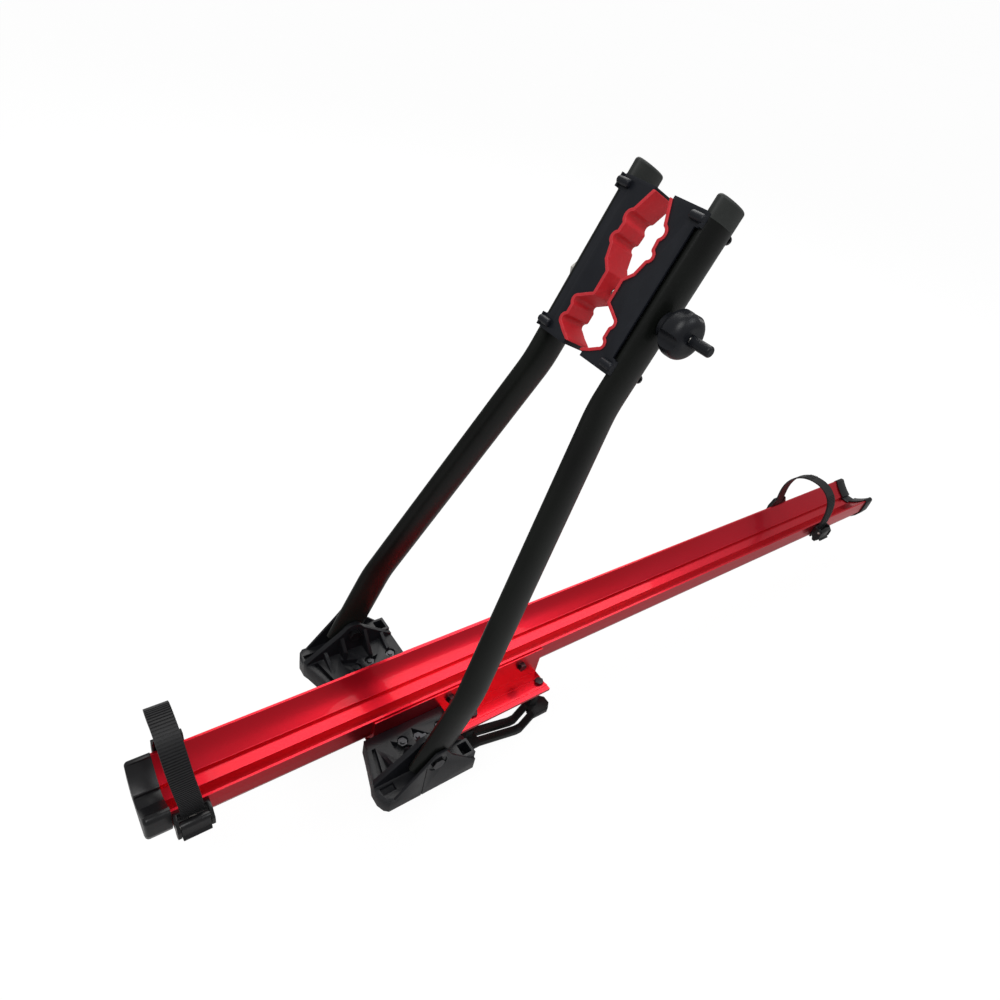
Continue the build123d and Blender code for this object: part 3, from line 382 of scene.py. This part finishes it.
def webbing(name, colour, pitch):
    """Strap band: fine cross weave along the band's own map, rubbed rib tops and painted shade darkening
    the grooves between the ribs.
    """
    weave_along, weave_across, cloud_grain = 0.0016, 0.0019, 0.01
    dark_cloud, pale_cloud, pale_edge, groove_shadow_tone = 0.7, 1.4, 3.4, 0.2
    worn_share, weave_share, groove_shadow_share = 0.35, 0.03, 0.7
    worn_reach, weave_depth = 0.0006, 0.00008
    finish = Finish(name)
    place = finish.add("ShaderNodeTexCoord", {}, output="UV")
    across, along = finish.part(place, 0), finish.part(place, 1)
    weave = along.wave(weave_along) * 0.6 + across.wave(weave_across) * 0.4
    cloud = finish.noise(cloud_grain, 3.0, 0.6)
    edge = finish.edges(worn_reach)
    body = finish.mix(cloud, tone(colour, dark_cloud), tone(colour, pale_cloud))
    body = finish.mix((edge * worn_share + weave * weave_share).clipped(), body, tone(colour, pale_edge))
    # Painted shade: the grooves between the ribs are darkened as if in shadow.
    groove_shadow = finish.band((along - pitch / 4).wave(pitch), 0.4, 0.7)
    body = finish.mix(groove_shadow * groove_shadow_share, body, tone(colour, groove_shadow_tone))
    return finish.surface({
        "Base Color": body,
        "Roughness": 0.42 + weave * 0.12 + cloud * 0.1,
        "Specular IOR Level": 0.35,
        "Normal": finish.bump(weave, weave_depth, 0.3),
    })


# Modelling helpers

def pick_only(piece):
    """Leaves one object selected and active."""
    bpy.ops.object.select_all(action="DESELECT")
    piece.select_set(True)
    bpy.context.view_layer.objects.active = piece


def finish_mesh(piece, angle=SMOOTH_ANGLE):
    """Smooths the faces that meet at a small angle."""
    pick_only(piece)
    bpy.ops.object.shade_smooth_by_angle(angle=radians(angle))


def give(piece, material):
    """Gives a piece one material."""
    piece.data.materials.clear()
    piece.data.materials.append(material)


def attach(piece, node):
    """The piece stands for a CAD node and moves with its body."""
    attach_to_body(piece, frame["nodes"][node]["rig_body"])
    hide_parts(node)


def softened(node, name, radius, segments=2, angle=BEVEL_ANGLE):
    """Copy of a CAD piece with its faces joined and its edges rounded."""
    piece = bpy.data.objects.new(name, frame["nodes"][node].data.copy())
    bpy.context.scene.collection.objects.link(piece)
    pick_only(piece)
    bpy.ops.mesh.customdata_custom_splitnormals_clear()
    bpy.ops.object.mode_set(mode="EDIT")
    bpy.ops.mesh.select_all(action="SELECT")
    bpy.ops.mesh.remove_doubles(threshold=MERGE_REACH)
    bpy.ops.mesh.dissolve_limited(angle_limit=radians(FLAT_ANGLE), delimit={"NORMAL"})
    bpy.ops.object.mode_set(mode="OBJECT")
    bevel = piece.modifiers.new("edge rounding", "BEVEL")
    bevel.width = radius
    bevel.segments = segments
    bevel.limit_method = "ANGLE"
    bevel.angle_limit = radians(angle)
    bevel.use_clamp_overlap = True
    bpy.ops.object.modifier_apply(modifier=bevel.name)
    finish_mesh(piece)
    return piece


def gathered(points, reach):
    """Groups points that lie within reach of each other."""
    groups = []
    for point in points:
        for group in groups:
            if (group[0].yz - point.yz).length < reach:
                group.append(point)
                break
        else:
            groups.append([point])
    return groups


def band_middles(node, thickness):
    """Middle of each section of a strap band, in order from its root."""
    rims = []
    points = [vertex.co.copy() for vertex in frame["nodes"][node].data.vertices]
    for group in gathered(points, thickness * RIM_REACH_SHARE):
        xs = [point.x for point in group]
        rims.append(Vector(((min(xs) + max(xs)) / 2, group[0].y, group[0].z)))
    middles = []
    for index, rim in enumerate(rims):
        for other in rims[index + 1:]:
            if abs((other.yz - rim.yz).length - thickness) < thickness * RIM_FIT_SHARE:
                middles.append((rim + other) / 2)
    ordered = [min((middle for middle in middles if middle.y > 0), key=lambda middle: middle.z)]
    middles.remove(ordered[0])
    while middles:
        following = min(middles, key=lambda middle: (middle - ordered[-1]).length)
        middles.remove(following)
        ordered.append(following)
    return ordered


def even_line(points, step):
    """Points of a smooth line through the given ones, a step apart: a Catmull-Rom spline."""
    fine = []
    last = len(points) - 1
    for index in range(last):
        before, start = points[max(index - 1, 0)], points[index]
        end, after = points[index + 1], points[min(index + 2, last)]
        for part in range(LINE_PARTS):
            t = part / LINE_PARTS
            square = 2 * before - 5 * start + 4 * end - after
            cube = 3 * start - before - 3 * end + after
            fine.append((2 * start + (end - before) * t + square * t ** 2 + cube * t ** 3) / 2)
    fine.append(points[last])
    line, run = [fine[0]], 0.0
    for start, end in zip(fine, fine[1:]):
        length = (end - start).length
        while run + length >= step:
            start = start.lerp(end, (step - run) / length)
            line.append(start)
            length = (end - start).length
            run = 0.0
        run += length
    return line


def turn_of(before, after):
    """Angle of the way between two points in the YZ plane, from +Z towards -Y."""
    way = after - before
    return atan2(-way.y, way.z)


def band_piece(name, line, width, thickness):
    """Extrudes a flat section along a line, turning it with the line."""
    bpy.ops.object.select_all(action="DESELECT")
    bpy.ops.mesh.primitive_plane_add(size=1.0, location=line[0])
    piece = bpy.context.object
    piece.name = name
    bpy.ops.object.transform_apply(location=True, rotation=True, scale=True)
    bpy.ops.object.mode_set(mode="EDIT")
    bpy.ops.mesh.select_all(action="SELECT")
    bpy.ops.transform.resize(value=(width, thickness, 1.0), center_override=line[0])
    turned = 0.0
    for index in range(1, len(line)):
        place = line[index]
        step = place - line[index - 1]
        bpy.ops.mesh.extrude_region_move(TRANSFORM_OT_translate={"value": step})
        wanted = turn_of(line[index - 1], line[min(index + 1, len(line) - 1)])
        bpy.ops.transform.rotate(value=-(wanted - turned), orient_axis="X", center_override=place)
        turned = wanted
    bpy.ops.mesh.select_all(action="SELECT")
    bpy.ops.mesh.normals_make_consistent(inside=False)
    bpy.ops.object.mode_set(mode="OBJECT")
    return piece


def map_band(piece, line):
    """Writes a map that runs along the band, in metres."""
    layer = piece.data.uv_layers.new(name="band")
    lengths = [0.0]
    for start, end in zip(line, line[1:]):
        lengths.append(lengths[-1] + (end - start).length)
    nearest = {}
    for vertex in piece.data.vertices:
        index = min(range(len(line)), key=lambda i: (line[i] - vertex.co).length_squared)
        nearest[vertex.index] = (vertex.co.x - line[index].x, lengths[index])
    for loop in piece.data.loops:
        layer.data[loop.index].uv = nearest[loop.vertex_index]


def raise_ribs(piece, line, first, last, height):
    """Raises every other outer face of the band between two shares of its length."""
    middles = [(start + end) / 2 for start, end in zip(line, line[1:])]
    for polygon in piece.data.polygons:
        index = min(range(len(middles)), key=lambda i: (middles[i] - polygon.center).length_squared)
        way = (line[index + 1] - line[index]).normalized()
        outward = way.cross(Vector((1, 0, 0)))
        share = index / len(line)
        polygon.select = index % 2 == 0 and first < share < last and polygon.normal.dot(outward) > OUTWARD
    tools = bpy.context.tool_settings
    tools.mesh_select_mode = (False, False, True)
    bpy.ops.object.mode_set(mode="EDIT")
    bpy.ops.mesh.extrude_faces_move(TRANSFORM_OT_shrink_fatten={"value": height})
    bpy.ops.object.mode_set(mode="OBJECT")
    tools.mesh_select_mode = (True, False, False)


# What a user may change

class CarrierSizes(bpy.types.PropertyGroup):
    """Sizes of the dressed pieces."""

    strap_width: FloatProperty(name="Strap width", description="Width of the strap bands",
                               default=0.0215, unit="LENGTH")
    strap_thickness: FloatProperty(name="Strap thickness", description="Thickness of the strap bands",
                                   default=0.0022, unit="LENGTH")
    rib_pitch: FloatProperty(name="Rib pitch", description="Distance between the strap's ribs",
                             default=0.0031, unit="LENGTH")
    rib_height: FloatProperty(name="Rib height", description="Height of the strap's ribs",
                              default=0.0009, unit="LENGTH")
    rib_start: FloatProperty(name="Rib start", description="Share of the strap's length where ribs begin",
                             default=0.42, subtype="FACTOR")
    plastic_edge: FloatProperty(name="Plastic edge", description="Edge rounding of moulded pieces",
                                default=0.0007, unit="LENGTH")
    rubber_edge: FloatProperty(name="Rubber edge", description="Edge rounding of the rubber jaws",
                               default=0.0009, unit="LENGTH")
    metal_edge: FloatProperty(name="Metal edge", description="Edge rounding of the roof bar clamps",
                              default=0.0006, unit="LENGTH")
    thread_pitch: FloatProperty(name="Thread pitch", description="Pitch of the clamp rod's thread",
                                default=0.00125, unit="LENGTH")


def colour_choice(name, text, value):
    """A colour that a user may change."""
    return FloatVectorProperty(name=name, description=text, default=value, size=3, min=0.0, max=1.0,
                               subtype="COLOR")


class CarrierColours(bpy.types.PropertyGroup):
    """Colours of the finishes."""

    paint: colour_choice("Paint", "Red lacquer of the channel and base", (0.6, 0.006, 0.018))
    # Colour of the painted highlight on the red lacquer, laid on in streaks and on its edges.
    paint_highlight: colour_choice("Paint highlight", "Painted highlight of the red lacquer", (0.8, 0.035, 0.085))
    jaw: colour_choice("Jaw", "Rubber of the jaws", (0.66, 0.018, 0.03))
    jaw_bloom: colour_choice("Jaw bloom", "Paler bloom of the rubber", (0.82, 0.16, 0.18))
    arm: colour_choice("Arm", "Powder coat of the arms", (0.005, 0.0055, 0.005))
    # Colour of the painted sheen on the arms and the bar clamps.
    arm_sheen: colour_choice("Arm sheen", "Painted sheen of the powder coat", (0.008, 0.0095, 0.008))
    plug: colour_choice("Plug", "Moulded arm plugs", (0.026, 0.029, 0.027))
    shell: colour_choice("Shell", "Moulded clamp shells", (0.009, 0.0105, 0.015))
    foot: colour_choice("Foot", "Moulded feet", (0.008, 0.0085, 0.0105))
    cap: colour_choice("Cap", "Moulded end caps", (0.009, 0.009, 0.01))
    strap: colour_choice("Strap", "Strap bands", (0.026, 0.026, 0.028))
    buckle: colour_choice("Buckle", "Buckles and keepers", (0.009, 0.009, 0.01))
    knob: colour_choice("Knob", "Clamp knob", (0.008, 0.009, 0.012))
    enamel: colour_choice("Enamel", "Black enamel of the bar clamps", (0.01, 0.01, 0.011))
    steel: colour_choice("Steel", "Plated steel", (0.62, 0.6, 0.56))
    dark_steel: colour_choice("Dark steel", "Blackened steel", (0.06, 0.06, 0.065))
    brass: colour_choice("Brass", "Brass insert", (0.72, 0.52, 0.24))


class StudioSettings(bpy.types.PropertyGroup):
    """Light, floor and camera."""

    eye: FloatVectorProperty(name="Eye", description="Place of the camera",
                             default=(-0.4606, -0.4228, 0.7263), subtype="TRANSLATION", unit="LENGTH")
    right: FloatVectorProperty(name="Right", description="Way to the picture's right",
                               default=(0.8003, -0.5689, 0.1895), subtype="XYZ")
    down: FloatVectorProperty(name="Down", description="Way to the picture's foot",
                              default=(-0.2284, -0.5814, -0.7809), subtype="XYZ")
    lens: FloatProperty(name="Lens", description="Focal length in millimetres", default=25.57)
    floor_drop: FloatProperty(name="Floor drop", description="Gap between the carrier and the floor",
                              default=0.0005, unit="LENGTH")
    key_power: FloatProperty(name="Key light", description="Power of the main soft light", default=39.0,
                             unit="POWER")
    fill_power: FloatProperty(name="Fill light",
                              description="Power of the front light; the right one has less",
                              default=16.0, unit="POWER")
    sky: FloatProperty(name="Sky", description="Strength of the even light from all round", default=0.4)


class CarrierSettings(bpy.types.PropertyGroup):
    """All settings of the dressed carrier."""

    sizes: PointerProperty(type=CarrierSizes)
    colours: PointerProperty(type=CarrierColours)
    studio: PointerProperty(type=StudioSettings)


# Operators

class CarrierOperator:
    """Shared parts of the carrier's operators."""

    bl_options = {"REGISTER"}

    @property
    def sizes(self):
        return bpy.context.scene.carrier.sizes

    @property
    def colours(self):
        return bpy.context.scene.carrier.colours

    def paint_nodes(self, material, nodes):
        for node in nodes:
            give(frame["nodes"][node], material)

    def soften_nodes(self, material, slot, radius, nodes, segments=2, angle=BEVEL_ANGLE):
        for node in nodes:
            piece = softened(node, f"{node}_dressed", radius, segments, angle)
            give(piece, material)
            attach(piece, node)


class CARRIER_OT_channel(CarrierOperator, bpy.types.Operator):
    """Paints the wheel channel and the base profile"""

    bl_idname = "carrier.channel"
    bl_label = "Channel and base"

    def execute(self, context):
        red = lacquer("red_lacquer", self.colours.paint, flake=0.0006, pale=self.colours.paint_highlight)
        self.paint_nodes(red, ("wheel_channel", "base_profile"))
        return {"FINISHED"}


class CARRIER_OT_caps(CarrierOperator, bpy.types.Operator):
    """Rounds and finishes the channel's two end caps"""

    bl_idname = "carrier.caps"
    bl_label = "End caps"

    def execute(self, context):
        black = moulded("cap_plastic", self.colours.cap, grain=0.0005, depth=0.00006, rough=0.3)
        self.soften_nodes(black, "cap", self.sizes.plastic_edge, ("channel_cap_front", "channel_cap_rear"))
        return {"FINISHED"}


class CARRIER_OT_feet(CarrierOperator, bpy.types.Operator):
    """Rounds and finishes the two moulded feet"""

    bl_idname = "carrier.feet"
    bl_label = "Feet"

    def execute(self, context):
        black = moulded("foot_plastic", self.colours.foot, grain=0.0006, depth=0.0001, rough=0.34)
        self.soften_nodes(black, "foot", self.sizes.plastic_edge, ("foot_left", "foot_right"))
        return {"FINISHED"}


class CARRIER_OT_arms(CarrierOperator, bpy.types.Operator):
    """Finishes the oval arms and their end plugs"""

    bl_idname = "carrier.arms"
    bl_label = "Arms and plugs"

    def execute(self, context):
        coat = powder_coat("arm_powder_coat", self.colours.arm, self.colours.arm_sheen)
        self.paint_nodes(coat, ("arm_left", "arm_right"))
        plug = moulded("plug_plastic", self.colours.plug, grain=0.0007, depth=0.00012, rough=0.45)
        self.paint_nodes(plug, ("arm_plug_left", "arm_plug_right"))
        return {"FINISHED"}


class CARRIER_OT_clamp(CarrierOperator, bpy.types.Operator):
    """Rounds and finishes the clamp shells, rubber jaws, pins and knob"""

    bl_idname = "carrier.clamp"
    bl_label = "Frame clamp"

    def execute(self, context):
        sizes, colours = self.sizes, self.colours
        plate = moulded("shell_plastic", colours.shell, grain=0.0005, depth=0.00005, rough=0.42, wear=0.22)
        shells, jaws = ("clamp_shell_left", "clamp_shell_right"), ("jaw_left", "jaw_right")
        self.soften_nodes(plate, "shell", sizes.plastic_edge * SHELL_EDGE_SHARE, shells)
        red = rubber("jaw_rubber", colours.jaw, colours.jaw_bloom)
        self.soften_nodes(red, "jaw", sizes.rubber_edge, jaws, segments=3, angle=JAW_BEVEL_ANGLE)
        knob = moulded("knob_plastic", colours.knob, grain=0.0006, depth=0.0001, rough=0.36)
        self.soften_nodes(knob, "knob", sizes.plastic_edge, ("clamp_knob",), segments=3)
        self.paint_nodes(knob, ("rod_cap",))
        self.paint_nodes(plate, ("corner_pins_left", "corner_pins_right"))
        return {"FINISHED"}


class CARRIER_OT_straps(CarrierOperator, bpy.types.Operator):
    """Models the ribbed wheel straps along the bands of the frame"""

    bl_idname = "carrier.straps"
    bl_label = "Wheel straps"

    def execute(self, context):
        sizes = self.sizes
        material = webbing("strap_webbing", self.colours.strap, sizes.rib_pitch)
        for end in ("front", "rear"):
            node = f"wheel_strap_{end}"
            line = even_line(band_middles(node, sizes.strap_thickness), sizes.rib_pitch / 2)
            piece = band_piece(f"{node}_ribbed", line, sizes.strap_width, sizes.strap_thickness)
            map_band(piece, line)
            raise_ribs(piece, line, sizes.rib_start, 1.0, sizes.rib_height)
            give(piece, material)
            finish_mesh(piece, RIB_SMOOTH_ANGLE)
            attach(piece, node)
        return {"FINISHED"}


class CARRIER_OT_buckles(CarrierOperator, bpy.types.Operator):
    """Rounds and finishes the strap keepers, buckle bodies and levers"""

    bl_idname = "carrier.buckles"
    bl_label = "Buckles and keepers"

    def execute(self, context):
        black = moulded("buckle_plastic", self.colours.buckle, grain=0.0005, depth=0.00005, rough=0.28)
        nodes = [f"{kind}_{end}" for kind in ("strap_anchor", "buckle_body", "buckle_lever")
                 for end in ("front", "rear")]
        self.soften_nodes(black, "buckle", self.sizes.plastic_edge * BUCKLE_EDGE_SHARE, nodes)
        return {"FINISHED"}


class CARRIER_OT_bar_clamps(CarrierOperator, bpy.types.Operator):
    """Rounds and finishes the roof bar clamps"""

    bl_idname = "carrier.bar_clamps"
    bl_label = "Roof bar clamps"

    def execute(self, context):
        # Painted sheen in the arm sheen colour, as on the arms.
        enamel = powder_coat("bar_clamp_enamel", self.colours.enamel, self.colours.arm_sheen)
        self.soften_nodes(enamel, "bar_clamp", self.sizes.metal_edge, ("bar_clamp_left", "bar_clamp_right"))
        return {"FINISHED"}


class CARRIER_OT_hardware(CarrierOperator, bpy.types.Operator):
    """Finishes the bolts, nuts, washers, rivets, rod and insert"""

    bl_idname = "carrier.hardware"
    bl_label = "Rod, bolts and rivets"

    def execute(self, context):
        colours = self.colours
        low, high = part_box("clamp_rod")
        centre = (low + high) / 2
        pitch = self.sizes.thread_pitch

        def rod_thread(finish):
            x, y, z = (finish.part(finish.spot, axis) for axis in range(3))
            turn = calc(finish.tree, "ARCTAN2", z - centre.z, x - centre.x) / (2 * pi)
            return (y + turn * pitch).wave(pitch)

        def bolt_thread(finish):
            z = finish.part(finish.spot, 2)
            return 1.0 - (1.0 - z.wave(BOLT_PITCH)) * (1.0 - finish.band(z, *BOLT_THREAD_TOP))

        steel = metal("plated_steel", colours.steel, rough=0.24)
        dark = metal("black_steel", colours.dark_steel, rough=0.26)
        rod = metal("threaded_rod", colours.steel, rough=0.26, thread=rod_thread)
        bolt = metal("threaded_bolt", colours.dark_steel, rough=0.28, thread=bolt_thread)
        brass = metal("brass", colours.brass, rough=0.26)
        plated = ("bar_clamp_nuts", "bar_clamp_washers", "rod_nut", "knob_washer", "strap_rivets",
                  "buckle_pin", "channel_rivet_nuts")
        blackened = ("channel_bolts", "foot_bolts", "foot_nuts", "pivot_nuts", "pivot_bolts",
                     "pivot_sleeve", "shell_screws")
        self.paint_nodes(steel, [node for node in frame["nodes"] if node.startswith(plated)])
        self.paint_nodes(dark, [node for node in frame["nodes"] if node.startswith(blackened)])
        self.paint_nodes(rod, ("clamp_rod",))
        self.paint_nodes(bolt, ("bar_clamp_bolts",))
        self.paint_nodes(brass, ("knob_insert",))
        return {"FINISHED"}


class CARRIER_OT_studio(CarrierOperator, bpy.types.Operator):
    """Sets the floor, soft lights, world and camera"""

    bl_idname = "carrier.studio"
    bl_label = "Studio"

    def floor(self, studio):
        finish = Finish("studio_floor")
        rays = finish.add("ShaderNodeLightPath", {}, output="Is Camera Ray")
        clear = finish.add("ShaderNodeLightPath", {}, output="Is Transmission Ray")
        matt = finish.add("ShaderNodeBsdfDiffuse", {"Color": FLOOR_GREY})
        white = finish.add("ShaderNodeEmission", {"Color": WHITE, "Strength": FLOOR_GLOW})
        shown = (rays + clear).clipped() * FLOOR_GLOW_SHARE
        both = finish.add("ShaderNodeMixShader", {0: shown, 1: matt, 2: white})
        finish.add("ShaderNodeOutputMaterial", {"Surface": both})
        low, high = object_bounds()
        bpy.ops.object.select_all(action="DESELECT")
        place = ((low.x + high.x) / 2, 0.0, low.z - studio.floor_drop)
        bpy.ops.mesh.primitive_plane_add(size=FLOOR_SIZE, location=place)
        floor = bpy.context.object
        floor.name = "studio_floor"
        bpy.ops.object.transform_apply(location=True, rotation=True, scale=True)
        give(floor, finish.material)
        floor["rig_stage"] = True

    def light(self, name, place, target, size, power, colour):
        lamp = bpy.data.lights.new(name, "AREA")
        lamp.shape = "DISK"
        lamp.size = size
        lamp.energy = power
        lamp.color = colour
        holder = bpy.data.objects.new(name, lamp)
        bpy.context.scene.collection.objects.link(holder)
        holder.location = place
        holder.rotation_euler = (Vector(target) - Vector(place)).to_track_quat("-Z", "Y").to_euler()

    def world(self, studio):
        world = bpy.data.worlds.new("studio_sky")
        bpy.context.scene.world = world
        world.use_nodes = True
        tree = world.node_tree
        tree.nodes.clear()
        path = tree.nodes.new("ShaderNodeLightPath")
        seen = Value(tree, path.outputs["Is Camera Ray"])
        background = tree.nodes.new("ShaderNodeBackground")
        background.inputs["Color"].default_value = WHITE
        put(tree, background.inputs["Strength"], studio.sky + seen * (SKY_SEEN - studio.sky))
        out = tree.nodes.new("ShaderNodeOutputWorld")
        tree.links.new(background.outputs[0], out.inputs["Surface"])

    def camera(self, studio):
        right = Vector(studio.right).normalized()
        back = right.cross(-Vector(studio.down)).normalized()
        up = back.cross(right)
        camera = bpy.data.cameras.new("studio_camera")
        camera.sensor_width = SENSOR
        camera.lens = studio.lens
        camera.clip_start = CLIP_START
        holder = bpy.data.objects.new("studio_camera", camera)
        bpy.context.scene.collection.objects.link(holder)
        turned = Matrix((right, up, back)).transposed().to_4x4()
        holder.matrix_world = Matrix.Translation(Vector(studio.eye)) @ turned
        bpy.context.scene.camera = holder

    def execute(self, context):
        studio = context.scene.carrier.studio
        self.floor(studio)
        for name, place, target, size, setting, share, colour in LIGHTS:
            self.light(name, place, target, size, getattr(studio, setting) * share, colour)
        self.world(studio)
        self.camera(studio)
        context.scene.view_settings.view_transform = "Standard"
        return {"FINISHED"}


class CARRIER_PT_panel(bpy.types.Panel):
    """Lists the carrier's operators and settings"""

    bl_label = "Roof Bike Carrier"
    bl_idname = "CARRIER_PT_panel"
    bl_space_type = "VIEW_3D"
    bl_region_type = "UI"
    bl_category = "Carrier"

    def draw(self, context):
        layout = self.layout
        for operator in operators:
            layout.operator(operator.bl_idname)
        settings = context.scene.carrier
        for group in (settings.sizes, settings.colours, settings.studio):
            box = layout.box()
            for name in group.__annotations__:
                box.prop(group, name)


groups = (CarrierSizes, CarrierColours, StudioSettings, CarrierSettings)
operators = (
    CARRIER_OT_channel, CARRIER_OT_caps, CARRIER_OT_feet, CARRIER_OT_arms, CARRIER_OT_clamp,
    CARRIER_OT_straps, CARRIER_OT_buckles, CARRIER_OT_bar_clamps, CARRIER_OT_hardware, CARRIER_OT_studio,
)


def register():
    for kind in groups + operators + (CARRIER_PT_panel,):
        bpy.utils.register_class(kind)
    bpy.types.Scene.carrier = PointerProperty(type=CarrierSettings)


def unregister():
    del bpy.types.Scene.carrier
    for kind in reversed(groups + operators + (CARRIER_PT_panel,)):
        bpy.utils.unregister_class(kind)


def main():
    register()
    for operator in operators:
        getattr(bpy.ops.carrier, operator.bl_idname.split(".")[1])()


if __name__ == "__main__":
    main()
